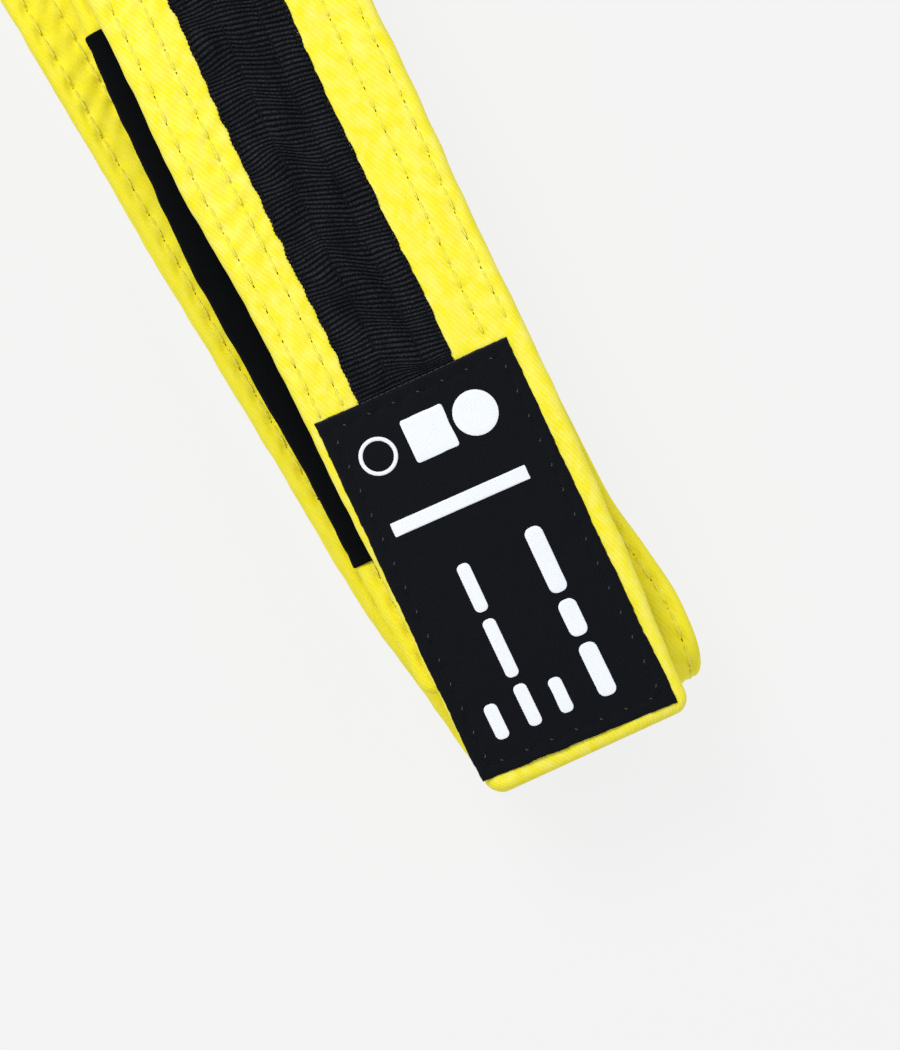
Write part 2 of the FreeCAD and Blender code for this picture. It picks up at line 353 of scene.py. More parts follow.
class Cloth:
    """A material whose look is made of sums over its places, in millimetres along and round the cloth."""

    def __init__(self, name, roughness, specular, sheen=0.0):
        self.material = bpy.data.materials.new(name)
        self.material.use_nodes = True
        self.tree = self.material.node_tree
        self.shader = self.tree.nodes["Principled BSDF"]
        shine = {"Roughness": roughness, "Sheen Weight": sheen, "Specular IOR Level": specular}
        self.fill(self.shader, shine)
        places = self.add("ShaderNodeUVMap", {})
        self.along = self.add("ShaderNodeSeparateXYZ", {0: places}, 0)
        self.across = self.add("ShaderNodeSeparateXYZ", {0: places}, 1)

    def fill(self, node, inputs):
        """Give a node's inputs their values, or join them to other nodes."""
        for name, value in inputs.items():
            if isinstance(value, bpy.types.NodeSocket):
                self.tree.links.new(value, node.inputs[name])
            else:
                node.inputs[name].default_value = value

    def add(self, kind, inputs, output=0, **settings):
        node = self.tree.nodes.new(kind)
        for name, value in settings.items():
            setattr(node, name, value)
        self.fill(node, inputs)
        return node.outputs[output]

    def calculate(self, operation, first, second=0.0, third=0.0):
        return self.add("ShaderNodeMath", {0: first, 1: second, 2: third}, operation=operation)

    def plus(self, first, second):
        return self.calculate("ADD", first, second)

    def times(self, first, second):
        return self.calculate("MULTIPLY", first, second)

    def weigh(self, value, amount, offset=0.0):
        """value times amount plus offset."""
        return self.calculate("MULTIPLY_ADD", value, amount, offset)

    def clamp(self, value, least=0.0):
        return self.add("ShaderNodeClamp", {0: value, 1: least})

    def ridges(self, angle, spacing, wander=0.0):
        """Waves from 0 to 1 whose crests run at an angle to the strap, in degrees."""
        turn = math.radians(angle)
        steps = self.plus(self.weigh(self.along, math.sin(turn)), self.weigh(self.across, math.cos(turn)))
        phase = self.plus(self.calculate("DIVIDE", steps, spacing), wander)
        return self.weigh(self.calculate("SINE", self.times(phase, 2 * math.pi)), 0.5, 0.5)

    def noise(self, along_scale, across_scale, detail=2.0):
        """Noise from 0 to 1 with blotches of about the given sizes in millimetres."""
        shrunk = {0: self.weigh(self.along, 1 / along_scale), 1: self.weigh(self.across, 1 / across_scale)}
        vector = self.add("ShaderNodeCombineXYZ", shrunk)
        return self.add("ShaderNodeTexNoise", {"Vector": vector, "Scale": 1.0, "Detail": detail})

    def blend(self, share, first, second):
        """Colour from first, at share 0, to second, at share 1."""
        inputs = {0: share, 6: first, 7: second}
        for name in (6, 7):
            if isinstance(inputs[name], tuple):
                inputs[name] = (*inputs[name], 1.0)
        return self.add("ShaderNodeMix", inputs, 2, data_type="RGBA")

    def finish(self, colour, height, depth, strength=1.0):
        bump = self.add("ShaderNodeBump", {"Height": height, "Distance": depth * MM, "Strength": strength})
        self.fill(self.shader, {"Base Color": colour, "Normal": bump})
        return self.material


yellow = (0.95, 0.86, 0.035)
pale_yellow = (0.98, 0.91, 0.22)
deep_yellow = (0.89, 0.79, 0.012)
thread_yellow = (0.97, 0.89, 0.10)
# The top layer is painted paler than the layers under it: painted light on top, painted shade below.
lit_top_length = 420.0  # of the strap from its label tip, the top layer, whose yarns are painted palest: painted light
lit_top_fade = 60.0
# Share of paleness left on the lower layers, painted as in shade.
shaded_paleness = 0.3
twill_angle = 24.0
twill_spacing = 0.72
satin_angle = -40.0
satin_spacing = 0.36
rib_spacing = 0.77  # of the ribbon


def yellow_twill():
    cloth = Cloth("yellow_twill", 0.85, 0.12, 0.06)
    wales = cloth.ridges(twill_angle, twill_spacing, cloth.weigh(cloth.noise(5.0, 5.0), 0.9))
    yarns = cloth.noise(0.45, 0.35, 3.0)
    blotches = cloth.noise(7.0, 5.0, 3.0)
    bleached = cloth.noise(2.6, 2.0, 3.0)
    base = cloth.blend(cloth.weigh(blotches, 1.5, -0.25), deep_yellow, yellow)
    raised = cloth.times(wales, cloth.weigh(yarns, 1.6, -0.2))
    paled = cloth.plus(cloth.weigh(raised, 0.5), cloth.weigh(bleached, 1.7, -0.75))
    # Full pale share along the lit top layer, less further along on the layers below: painted light and
    # shade.
    lit_share = cloth.clamp(cloth.weigh(cloth.along, -1 / lit_top_fade, lit_top_length / lit_top_fade), shaded_paleness)
    colour = cloth.blend(cloth.clamp(cloth.times(paled, lit_share)), base, pale_yellow)
    return cloth.finish(colour, cloth.plus(wales, cloth.weigh(yarns, 0.8)), 0.055, 0.8)


def thread(name, colour, roughness, shade):
    cloth = Cloth(name, roughness, 0.1)
    twist = cloth.ridges(55.0, 0.25)
    darker = tuple(part * shade for part in colour)
    return cloth.finish(cloth.blend(twist, darker, colour), twist, 0.05)


# Dark beads at the needle holes: painted shade inside the holes.
def painted_hole_shade():
    cloth = Cloth("painted_hole_shade", 0.95, 0.0)
    colour = cloth.blend(cloth.noise(0.4, 0.4), (0.012, 0.010, 0.001), (0.10, 0.08, 0.005))
    cloth.fill(cloth.shader, {"Base Color": colour})
    return cloth.material


def black_ribbon():
    """Painted shade: dark where it lies in a groove between the ribs. Painted highlights: strands glinting
    on the rib crests, stronger in patches.
    """
    cloth = Cloth("black_ribbon", 0.5, 0.03)
    strands = cloth.noise(0.42, 0.24, 3.0)
    # Patches in which the painted glints are stronger.
    glint_patches = cloth.noise(9.0, 4.0, 2.0)
    # Lighter on the rib crests and near black in the grooves: painted highlight on the ribs, painted shade
    # in the grooves.
    rib = cloth.calculate("SINE", cloth.weigh(cloth.along, math.pi / rib_spacing))
    glints = cloth.times(cloth.calculate("POWER", strands, 3.0), cloth.times(rib, rib))
    share = cloth.times(glints, cloth.weigh(glint_patches, 7.0))
    colour = cloth.blend(share, (0.0008, 0.0010, 0.0016), (0.034, 0.037, 0.046))
    cloth.fill(cloth.shader, {"Roughness": cloth.weigh(strands, 0.6, 0.25)})
    return cloth.finish(colour, strands, 0.06)


def label_satin():
    cloth = Cloth("label_satin", 0.45, 0.06)
    weave = cloth.ridges(satin_angle, satin_spacing)
    fibres = cloth.noise(0.3, 0.16, 3.0)
    lustre = cloth.noise(12.0, 9.0)
    share = cloth.times(weave, cloth.weigh(fibres, 1.4, -0.2))
    colour = cloth.blend(share, (0.0012, 0.0018, 0.0032), (0.014, 0.016, 0.022))
    cloth.fill(cloth.shader, {"Roughness": cloth.weigh(lustre, 0.3, 0.35)})
    return cloth.finish(colour, cloth.plus(weave, fibres), 0.03)


def print_white():
    cloth = Cloth("print_white", 0.6, 0.1)
    weave = cloth.ridges(satin_angle, satin_spacing)
    fibres = cloth.noise(0.25, 0.5, 3.0)
    colour = cloth.blend(cloth.times(weave, fibres), (0.92, 0.95, 1.0), (0.74, 0.79, 0.88))
    return cloth.finish(colour, cloth.plus(weave, fibres), 0.03)


def rank_bar_cotton():
    cloth = Cloth("rank_bar_cotton", 0.9, 0.04)
    wander = cloth.weigh(cloth.noise(3.0, 3.0), 0.6)
    weave = cloth.times(cloth.ridges(0.0, 0.42, wander), cloth.ridges(90.0, 0.42, wander))
    lint = cloth.noise(0.5, 0.3, 4.0)
    colour = cloth.blend(cloth.times(lint, weave), (0.0015, 0.002, 0.0025), (0.010, 0.011, 0.013))
    return cloth.finish(colour, cloth.plus(weave, lint), 0.05)


finishes = {
    "yellow_twill": yellow_twill(),
    "yellow_thread": thread("yellow_thread", thread_yellow, 0.85, 0.95),
    "painted_hole_shade": painted_hole_shade(),
    "black_ribbon": black_ribbon(),
    "black_thread": thread("black_thread", (0.005, 0.0055, 0.0075), 0.5, 0.4),
    # Light grey thread: painted highlights on the label's black stitches and its folded edge.
    "painted_glint": thread("painted_glint", (0.11, 0.115, 0.13), 0.3, 0.2),
    "label_satin": label_satin(),
    "print_white": print_white(),
    "rank_bar_cotton": rank_bar_cotton(),
}

# Sections of the strap.  Each one but the base fold crosses one joint, so each is cut in the middle of
# a stretch that stays rigid.
label_cut = station(1, (label_hinge_x + loose_hinge_x) / 2)
front_cut_x = (loose_hinge_x + far_fold_x) / 2
middle_x = (near_fold_x + far_fold_x) / 2
cuts = [0.0, label_cut, station(1, front_cut_x), station(4, middle_x), station(5, middle_x)]
cuts += [station(6, middle_x), station(3, middle_x), station(2, front_cut_x), strap_length]
section_names = ["label_end", "loose_label_strand", "front_label_strand", "middle_label_strand"]
section_names += ["base_fold", "middle_rank_strand", "front_rank_strand", "loose_rank_strand"]
sections = list(zip(section_names, cuts[:-1], cuts[1:]))
label_edge_x = low("label")[0]
label_edge = station(1, label_edge_x)
label_middle = middle("label")[1] - strap_y
label_length, label_width, _ = high("label") - low("label")
rank_hem = strap_length - tip_hem

# Where the strap bends at the joints
settled = 0.3  # past a layer's face, before the bend may start
lift_start = 2.0  # before the hinge line
loose_lift_end = low("rank_bar")[0] - 1.0
label_lift_end = label_edge_x - 4.0
crown_gap = 0.002  # either side of the hinge, where a fold that opens flat parts


def fold_zone(lower_layer, upper_layer):
    """Heights between which a fold bends: clear of both layers' faces."""
    start = layer_height(lower_layer) + ribbon_face + settled
    end = layer_height(upper_layer) - ribbon_face - settled
    return (0, 0, start * MM), (0, 0, end * MM)


def crown_zone(joint):
    """A fold that opens flat parts at its crown, level with the hinge."""
    height = joint_place(joint)[2]
    return (0, 0, (height - crown_gap) * MM), (0, 0, (height + crown_gap) * MM)


def lift_zone(hinge_x, end_x):
    return ((hinge_x - lift_start) * MM, 0, 0), (end_x * MM, 0, 0)


loose_bend = ("front_fold", "loose_ends", *lift_zone(loose_hinge_x, loose_lift_end))
front_bend = ("middle_fold", "front_fold", *crown_zone("front_fold_hinge"))
bends = {
    "label_end": ("loose_ends", "label_end", *lift_zone(label_hinge_x, label_lift_end)),
    "loose_label_strand": loose_bend,
    "front_label_strand": front_bend,
    "middle_label_strand": ("base", "middle_fold", *fold_zone(5, 4)),
    "middle_rank_strand": ("base", "middle_fold", *fold_zone(6, 3)),
    "front_rank_strand": front_bend,
    "loose_rank_strand": loose_bend,
}


def attach(piece, section):
    if section in bends:
        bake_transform(piece)
    else:
        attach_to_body(piece, "base")


# Short steps next to a section's ends, so that two sections that meet are shaded alike
cut_steps = np.array([0.0, 0.03, 0.08, 0.16, 0.28, 0.44, 0.64])
crown_reach = 0.84  # of the close rings either side of an inner fold's crown
crown_spacing = 0.08


def ring_places(start, end, spacing, bend_spacing, extra=()):
    """Where the rings of a section stand, closer together round the folds."""
    places = [np.arange(math.ceil(start / spacing), math.floor(end / spacing) + 1) * spacing]
    for number, (first, last) in enumerate(zip(fold_starts, fold_ends)):
        places.append(np.arange(first - 1.0, last + 1.0, bend_spacing))
        if number in inner_folds:
            crown = (first + last) / 2
            places.append(np.arange(crown - crown_reach, crown + crown_reach, crown_spacing))
    places = np.unique(np.concatenate([*places, extra]))
    clear = cut_steps[-1] + 0.1
    places = places[(places > start + clear) & (places < end - clear)]
    return np.concatenate([start + cut_steps, places, end - cut_steps[::-1]])


# The cover: one quilted tube of twill


def stadium_ring(width, thickness, edge_points, face_steps):
    """Outline across the strap, from the middle of the back round -Y to the front and round +Y.
    Gives across, through and the length round the outline from the middle of the front."""
    radius = thickness / 2
    flat = width / 2 - radius
    inward = flat - np.array(face_steps)
    half_face = np.concatenate([inward[inward > 0], [0.0]])
    angles = np.linspace(0, np.pi, edge_points + 2)[1:-1]
    back_left = -half_face[::-1]
    left_edge = -flat - radius * np.sin(angles)
    left_through = -radius * np.cos(angles)
    front = np.concatenate([-half_face, half_face[-2::-1]])
    across = [back_left, left_edge, front, -left_edge[::-1], half_face[:-1]]
    through = [np.full(len(back_left), -radius), left_through, np.full(len(front), radius)]
    through += [left_through[::-1], np.full(len(half_face) - 1, -radius)]
    across = np.concatenate(across)
    through = np.concatenate(through)
    steps = np.hypot(np.diff(across), np.diff(through))
    girth = np.concatenate([[0.0], np.cumsum(steps)])
    front_middle = len(back_left) + len(left_edge) + len(half_face) - 1
    return across, through, girth - girth[front_middle]


off_centre = 1.8  # of the front ribbon, towards -Y
off_centre_length = 92.0  # from the label tip
off_centre_fade = 80.0
row_offset = 0.37  # of the holes on the -Y side, as a share of their row's distance from the middle


def stitch_wave(along, pitch):
    """1 at each needle hole and -1 half way between two."""
    return np.cos(2 * np.pi * along / pitch)


def row_shift(across, row):
    """How far along the strap the holes of a row are moved, so that rows differ."""
    return np.where(across < 0, row_offset, 0.0) * row


def sewn_from(face):
    """Where the ribbon and the stitch rows of a face start: at the label or at the hem."""
    return label_edge if face == FRONT else tip_hem


def rows_run(along, face):
    """1 where the stitch rows run, 0 under the label and in the hems."""
    return ease((along - sewn_from(face) + 0.5) / 1.5) * ease((rank_hem - along + 0.5) / 1.5)


def ribbon_offset(along, face):
    """How far the ribbon lies beside the middle of the strap; near the label it is sewn on off centre."""
    centred = ease((along - off_centre_length) / off_centre_fade) if face == FRONT else 1.0
    return 0.2 * ripple(along, 38.0, 15 + face) - off_centre * (1 - centred)


# Quilting, which is deeper away from the flat, pressed label end
pressed_length = 380.0
pressed_fade = 40.0
deep_quilting = 0.7  # the share by which it is deeper
valley_depth = 0.13  # of a stitch row, and again as much at its needle holes
valley_width = 1.15
pucker_depth = 0.14  # of the creases that leave each needle hole
puff_width = 1.3
row_puff = 0.16  # of the cloth between the two rows near each edge
ribbon_puff = 0.12  # of the cloth beside the ribbon
highest_relief = 0.26
under_ribbon_depth = 0.3


def pucker_growth(along):
    return 1 + deep_quilting * ease((along - pressed_length) / pressed_fade)


def cover_relief(along, across, face):
    """Height of the quilting over the flat face."""
    from_middle = np.abs(across)
    from_ribbon = np.abs(across - ribbon_offset(along, face)) - ribbon_width / 2
    relief = 0.10 * mottle(along, across, 16.0, 21 + face) + 0.05 * mottle(along, across, 5.0, 31 + face)
    quilt = -0.1
    for row, spacing in ((inner_row, inner_pitch), (outer_row, outer_pitch)):
        distance = from_middle - row
        wave = stitch_wave(along + row_shift(across, row), spacing)
        leaning = stitch_wave(along + row_shift(across, row) + 0.7 * distance, spacing)
        pull = (0.75 + 0.5 * mottle(along, across, 22.0, 41 + face)) * pucker_growth(along)
        valley = (valley_depth + valley_depth * wave) * hump(distance, valley_width)
        pucker = pucker_depth * leaning * np.exp(-np.abs(distance) / 2.0)
        quilt = quilt - pull * (valley + pucker)
    puff = row_puff * hump(from_middle - (inner_row + outer_row) / 2, puff_width)
    puff = puff + ribbon_puff * hump(from_ribbon - 1.9, puff_width)
    relief = relief + (quilt + puff) * rows_run(along, face)
    under_ribbon = ease((0.2 - from_ribbon) / 0.8)
    relief = relief * (1 - under_ribbon) - under_ribbon_depth * under_ribbon
    near_edge = ease((half_width - 0.6 - from_middle) / 1.6)
    return np.minimum(relief, highest_relief) * near_edge


# How far each edge lies outside its straight line, at distances from the label tip
left_edge_marks = [(0.0, -2.2), (14.0, -1.5), (86.0, -0.1), (118.0, 1.2), (200.0, 0.0)]
right_edge_marks = [(0.0, -1.8), (30.0, -0.2), (80.0, 0.1), (118.0, 1.1), (200.0, 0.0)]
tip_slant = 0.036  # of the label tip, whose +Y corner reaches further
tip_shortfall = 0.5
tip_fade = 30.0  # from the label tip, over which its slant dies out
wobble_fade = 12.0  # before the rank tip, over which its edges straighten


def edge_wobble(along, across):
    """How far the strap's edges wander outwards."""
    left = across < 0
    outwards = np.where(left, follow_marks(along, left_edge_marks), follow_marks(along, right_edge_marks))
    wobble = np.where(left, ripple(along, 45.0, 5), ripple(along, 52.0, 6))
    fine = np.where(left, ripple(along, 8.0, 7), ripple(along, 9.0, 8))
    weight = ease((np.abs(across) - 9.0) / 11.0)
    return np.sign(across) * weight * (outwards + 0.13 * wobble + 0.07 * fine)


def tip_shrink(distance, corner, half):
    """Share of the strap's half width or thickness at a distance from its rounded tip."""
    remaining = corner - np.clip(distance, 0, corner)
    return 1 - (corner - np.sqrt(corner**2 - remaining**2)) / half


def cover_shape(start, end):
    face_steps = [0, 0.4, 0.8, 1.2, 1.7, 2.2, 2.7, 3.2, 3.7, 4.1, 4.5, 4.9, 5.3, 5.7, 6.2, 6.7, 7.2, 7.8]
    face_steps += [8.4, 9.0, 9.5, 10.0, 13.0]
    across, through, girth = stadium_ring(belt_width, cover_thickness, 11, face_steps)
    tip_steps = np.array([0.03, 0.12, 0.28, 0.5, 0.8, 1.15, 1.5, 1.85, 2.2, 2.6])
    rings = ring_places(start, end, 0.8, 0.35, [*tip_steps, *(strap_length - tip_steps)])
    rings = np.unique(np.clip(rings, tip_steps[0], strap_length - tip_steps[0]))
    along = rings[:, None]
    tip_distance = np.minimum(along, strap_length - along)
    width_share = tip_shrink(tip_distance, tip_corner, half_width)
    thickness_share = tip_shrink(tip_distance, cover_face, cover_face)
    face = np.where(through > 0, FRONT, BACK)
    relief = np.where(face == FRONT, cover_relief(along, across, FRONT), cover_relief(along, across, BACK))
    flat = np.abs(through) > cover_face * 0.999
    wobble = edge_wobble(along, across) * ease((strap_length - along) / wobble_fade)
    moved = (across + wobble) * width_share
    risen = (through + face * relief * flat) * thickness_share
    slanted = along + (tip_shortfall - tip_slant * moved) * ease(1 - along / tip_fade)
    shape = Shape()
    add_closed_tube(shape, place(slanted, moved, risen), pair(along, girth))
    return shape


# The ribbon: cross ribs that lean over between its two middle rows of stitching
ribbon_base = cover_face - 0.32
rib_depth = 0.24
rib_overhang = 0.17  # of each rib past the ribbon's edge
edge_inset = 0.16
scallop_depth = 0.1  # of the edge between its stitches
rib_lean = 0.46
end_rib_lean = 0.2
lean_fade = 6.0  # from the ribbon's own ends, over which its ribs straighten
left_groove = ribbon_row_drift - ribbon_middle_row
right_groove = ribbon_row_drift + ribbon_middle_row
ribbon_rows = (-ribbon_edge_row, left_groove, right_groove, ribbon_edge_row)


def rib_slant(along, across):
    """How far a rib has moved towards the label tip."""
    lean = rib_lean * np.clip(across - left_groove, 0, right_groove - left_groove)
    lean = lean + end_rib_lean * np.clip(across - right_groove, 0, None)
    return lean * (0.85 + 0.25 * ripple(along, 60.0, 11)) + 0.4 * mottle(along, across, 9.0, 12)


def ribbon_groove(across):
    groove = 0.0
    for row in ribbon_rows:
        groove = groove + 0.2 * hump(across - row, 0.5)
    return groove


def ribbon_section():
    """Across and through of the ribbon's outline, and 1 where it has ribs."""
    half = ribbon_width / 2
    steps = np.array([0.0, 0.25, 0.7, 1.15, 1.6, 2.3, 3.1, 3.9])
    row_steps = np.linspace(-0.9, 0.9, 5)
    between = np.linspace(left_groove + 1.5, right_groove - 1.5, 5)
    right = half - steps[::-1]
    right = right[right > right_groove + 1.2]
    top = np.concatenate([steps - half, left_groove + row_steps, between, right_groove + row_steps, right])
    fall = np.where(np.abs(top) > half - 0.1, 0.22, 0.0)
    across = np.concatenate([top, [half, -half]])
    through = np.concatenate([ribbon_face - fall, [ribbon_base] * 2])
    ribbed = np.concatenate([np.ones(len(top)), [0.0, 0.0]])
    return across, through, ribbed


def ribbon_shape(start, end, face):
    first = max(start, label_edge - 1.0 if face == FRONT else tip_hem)
    last = min(end, rank_hem)
    rings = ring_places(first, last, rib_spacing / 4, rib_spacing / 4)
    across, through, ribbed = ribbon_section()
    ring = rings[:, None]
    slant = rib_slant(ring, across) * ease((ring - first) / lean_fade if first > start else 1.0)
    slant = slant * ease((last - ring) / lean_fade if last < end else 1.0)
    lowest = first if first > start else -np.inf
    highest = last if last < end else np.inf
    along = np.clip(ring - slant * ribbed, lowest, highest)
    rib = np.abs(np.sin(np.pi * ring / rib_spacing))
    height = -rib_depth * (1 - rib) * (1 + 0.5 * mottle(ring, across, 2.2, 13)) - ribbon_groove(across)
    height = height + 0.06 * mottle(ring, across, 11.0, 14 + face)
    scallop = scallop_depth * (stitch_wave(ring + 0.4 * across, inner_pitch) + ripple(ring, 6.0, 17))
    outermost = np.abs(across) > ribbon_width / 2 - 0.3
    edge = np.sign(across) * outermost * (rib_overhang * rib - edge_inset - scallop)
    moved = face * (across + edge) + ribbon_offset(along, face)
    risen = through + height * ribbed
    shape = Shape()
    feet = place(along[[0, -1]], moved[[0, -1]], face * ribbon_base)
    add_closed_tube(shape, place(along, moved, face * risen), pair(ring, across), feet)
    return shape


# Stitching.  Sizes are lengths, widths and heights.
# Size of the dark bead at each needle hole, which is painted shade.
hole_shade_size = (0.7, 0.25, 0.14)
bead_sides = 6
cross_row_length = 34.0  # of the rows across the strap
cross_pitch = 3.4


def add_beads(shape, along, across, through, size, finish=0, direction=0.0):
    """Small rounded stitches, one for each place, with their long side at an angle to the strap."""
    length, width, height = size
    spans = np.array([-1.0, -0.8, -0.4, 0.0, 0.4, 0.8, 1.0])[:, None]
    girths = np.sqrt(np.clip(1 - spans**4, 0.03, 1))
    angles = -np.arange(bead_sides) * 2 * np.pi / bead_sides
    reach = spans * length / 2
    side = np.cos(angles) * girths * width / 2
    rise = -np.sin(angles) * girths * height / 2
    cosine, sine = math.cos(direction), math.sin(direction)
    bead_along = along[:, None, None] + reach * cosine - side * sine
    bead_across = across[:, None, None] + side * cosine + reach * sine
    bead_through = through[:, None, None] + rise
    points = place(bead_along, bead_across, bead_through)
    beads, rings, count = points.shape[:3]
    textures = np.broadcast_to(pair(reach, np.arange(count) * width / 2), (beads, rings, count, 2))
    quads = grid_faces(rings, count)
    ends = [np.arange(count)[::-1], (rings - 1) * count + np.arange(count)]
    fans = [np.stack([np.full(count - 2, end[0]), end[1:-1], end[2:]], axis=-1) for end in ends]
    triangles = np.concatenate(fans)
    offsets = np.arange(beads)[:, None, None] * rings * count
    shape.add(points, textures, quads[None] + offsets, triangles[None] + offsets, finish)


def row_places(start, end, face, pitch, shift, seed):
    """Middles of the stitches of a row that belong to a section."""
    first = sewn_from(face)
    numbers = np.arange(math.floor(first / pitch) - 1, math.ceil(rank_hem / pitch) + 2)
    random = np.random.default_rng(seed)
    jitter = random.uniform(-0.06, 0.06, math.ceil(strap_length / inner_pitch) + 8) * pitch
    places = (numbers + 0.5) * pitch - shift + jitter[numbers + 2]
    inside = (places >= max(start, first)) & (places < min(end, rank_hem))
    return places[inside]


def add_cover_row(shape, along, row, face, sunk, size, finish):
    across = np.full(along.shape, row)
    through = face * (cover_face + cover_relief(along, across, face) - sunk)
    add_beads(shape, along, across + edge_wobble(along, across), through, size, finish)


def cover_stitches(start, end):
    shape = Shape()
    for face in (FRONT, BACK):
        for side in (-1, 1):
            for distance, pitch in ((inner_row, inner_pitch), (outer_row, outer_pitch)):
                row = side * distance
                along = row_places(start, end, face, pitch, float(row_shift(row, distance)), 40 + side)
                if len(along) > 0:
                    stitch = (pitch * 0.78, 0.5, 0.22)
                    add_cover_row(shape, along, row, face, 0.085, stitch, 0)
                    # A dark bead half way between stitches: painted shade in the needle hole.
                    add_cover_row(shape, along + pitch / 2, row, face, 0.01, hole_shade_size, 1)
    return shape


def ribbon_stitches(start, end):
    shape = Shape()
    for face in (FRONT, BACK):
        for row in ribbon_rows:
            along = row_places(start, end, face, inner_pitch, 0.3 * row, 50)
            if len(along) > 0:
                across = face * row + ribbon_offset(along, face)
                through = face * (ribbon_face - ribbon_groove(np.full(along.shape, row)) - 0.02)
                add_beads(shape, along, across, through, (inner_pitch * 0.72, 0.4, 0.26))
    return shape


# The label
upper_skew = 0.03  # of its upper edge, whose +Y corner lies nearer to the tip
lower_skew = 0.075  # of its lower edge
label_inset = 2.2  # of its stitching from its edges
label_pitch = 4.4


def label_skew(down):
    return upper_skew + (lower_skew - upper_skew) * down / label_length


def label_height(down, sideways):
    """Height of the label's face, from its upper edge and its middle."""
    from_edge = np.minimum(np.minimum(down, label_length - down), label_width / 2 - np.abs(sideways))
    roll = 0.5 * (1 - np.sqrt(np.clip(1 - (1 - np.clip(from_edge, 0, 0.5) / 0.5) ** 2, 0, 1)))
    seam = 0.09 * hump(from_edge - label_inset, 0.6) * (1 + 0.6 * stitch_wave(down + sideways, label_pitch))
    folded = 0.08 * ease((3.2 - from_edge) / 0.8)
    over_ribbon = 0.12 * ease((2.5 - down) / 2.5) * ease((ribbon_width / 2 + 1 - np.abs(sideways)) / 1.5)
    wave = 0.07 * mottle(down, sideways, 15.0, 61) + 0.03 * mottle(down, sideways, 4.0, 62)
    return label_face - roll - seam + folded * 0.6 + over_ribbon + wave


def label_place(down, sideways, over):
    """Points of the label, over its face."""
    down, sideways = np.broadcast_arrays(down, sideways)
    end_wander = 0.09 * ripple(sideways, 7.0, 63) + 0.05 * ripple(sideways, 1.9, 66)
    side_wander = 0.08 * ripple(down, 9.0, 64) + 0.05 * ripple(down, 1.9, 65)
    near_end = ease(1 - np.minimum(down, label_length - down) / 6.0)
    near_side = ease((np.abs(sideways) - label_width / 2 + 6.0) / 6.0)
    along = label_edge - down - label_skew(down) * sideways + near_end * end_wander
    across = label_middle + sideways + near_side * side_wander * np.sign(sideways)
    return place(along, across, label_height(down, sideways) + over)


def edge_spread(length, spacing):
    """Places over a length, closer together at both ends."""
    ends = np.array([0.0, 0.05, 0.15, 0.3, 0.5, 0.8, 1.2])
    inside = np.linspace(1.6, length - 1.6, math.ceil(length / spacing))
    return np.concatenate([ends, inside, length - ends[::-1]])


def label_shape():
    down = edge_spread(label_length, 0.55)
    sideways = edge_spread(label_width, 0.55) - label_width / 2
    grid_down, grid_side = np.meshgrid(down, sideways, indexing="ij")
    top = label_place(grid_down, grid_side, 0.0)
    bottom = label_place(grid_down, grid_side, cover_face - 0.3 - label_height(grid_down, grid_side))
    rows, columns = grid_down.shape
    textures = pair(grid_down, grid_side)
    faces = grid_faces(rows, columns, around=False)
    index = np.arange(rows * columns).reshape(rows, columns)
    rim = np.concatenate([index[0], index[1:, -1], index[-1, -2::-1], index[-2:0:-1, 0]])
    following = np.roll(rim, -1)
    below = rows * columns
    walls = np.stack([rim, following, following + below, rim + below], axis=-1)
    shape = Shape()
    faces = np.concatenate([faces[:, ::-1], faces + below, walls])
    shape.add(np.stack([top, bottom]), np.stack([textures, textures]), faces)
    return shape


def add_label_row(shape, down, sideways, over, size, finish, direction):
    down, sideways = np.broadcast_arrays(down, sideways)
    along = label_edge - down - label_skew(down) * sideways
    height = label_height(down, sideways) + over
    add_beads(shape, along, label_middle + sideways, height, size, finish, direction)


def label_stitches():
    """The closed row of stitches, a painted glint on each, and a painted highlight along the folded upper
    edge: light grey beads standing in for light catching the thread and the fold.
    """
    shape = Shape()
    first = label_inset + label_pitch / 2
    long_side = np.arange(first, label_length - label_inset, label_pitch)
    short_side = np.arange(first, label_width - label_inset, label_pitch) - label_width / 2
    rows = [(long_side, side * (label_width / 2 - label_inset), 0.0) for side in (-1, 1)]
    rows += [(down, short_side, math.pi / 2) for down in (label_inset, label_length - label_inset)]
    for down, sideways, direction in rows:
        add_label_row(shape, down, sideways, -0.03, (label_pitch * 0.62, 0.34, 0.2), 0, direction)
        # A small light grey bead on each stitch: a painted glint.
        add_label_row(shape, down, sideways, -0.03, (0.6, 0.26, 0.32), 1, direction + 0.5)
    # Light grey beads along the folded upper edge: a painted highlight where the fold catches the light.
    fold = np.arange(1.0 - label_width / 2, label_width / 2 - 0.5, 1.1)
    add_label_row(shape, 0.15, fold, 0.02, (1.0, 0.13, 0.12), 1, math.pi / 2)
    return shape


# The label's plain print
print_rise = 0.07


def outline_disc(radius):
    angles = np.linspace(0, 2 * np.pi, 40, endpoint=False)
    return radius * np.cos(angles), radius * np.sin(angles)


def outline_bar(length, width, corner):
    """Outline of a bar with rounded corners, as places down and sideways from its middle."""
    corners = np.pi / 4 + np.repeat(np.arange(4), 6) * np.pi / 2
    angles = corners + np.tile(np.linspace(-np.pi / 4, np.pi / 4, 6), 4)
    down = np.sign(np.cos(corners)) * (length / 2 - corner) + corner * np.cos(angles)
    sideways = np.sign(np.sin(corners)) * (width / 2 - corner) + corner * np.sin(angles)
    return down, sideways


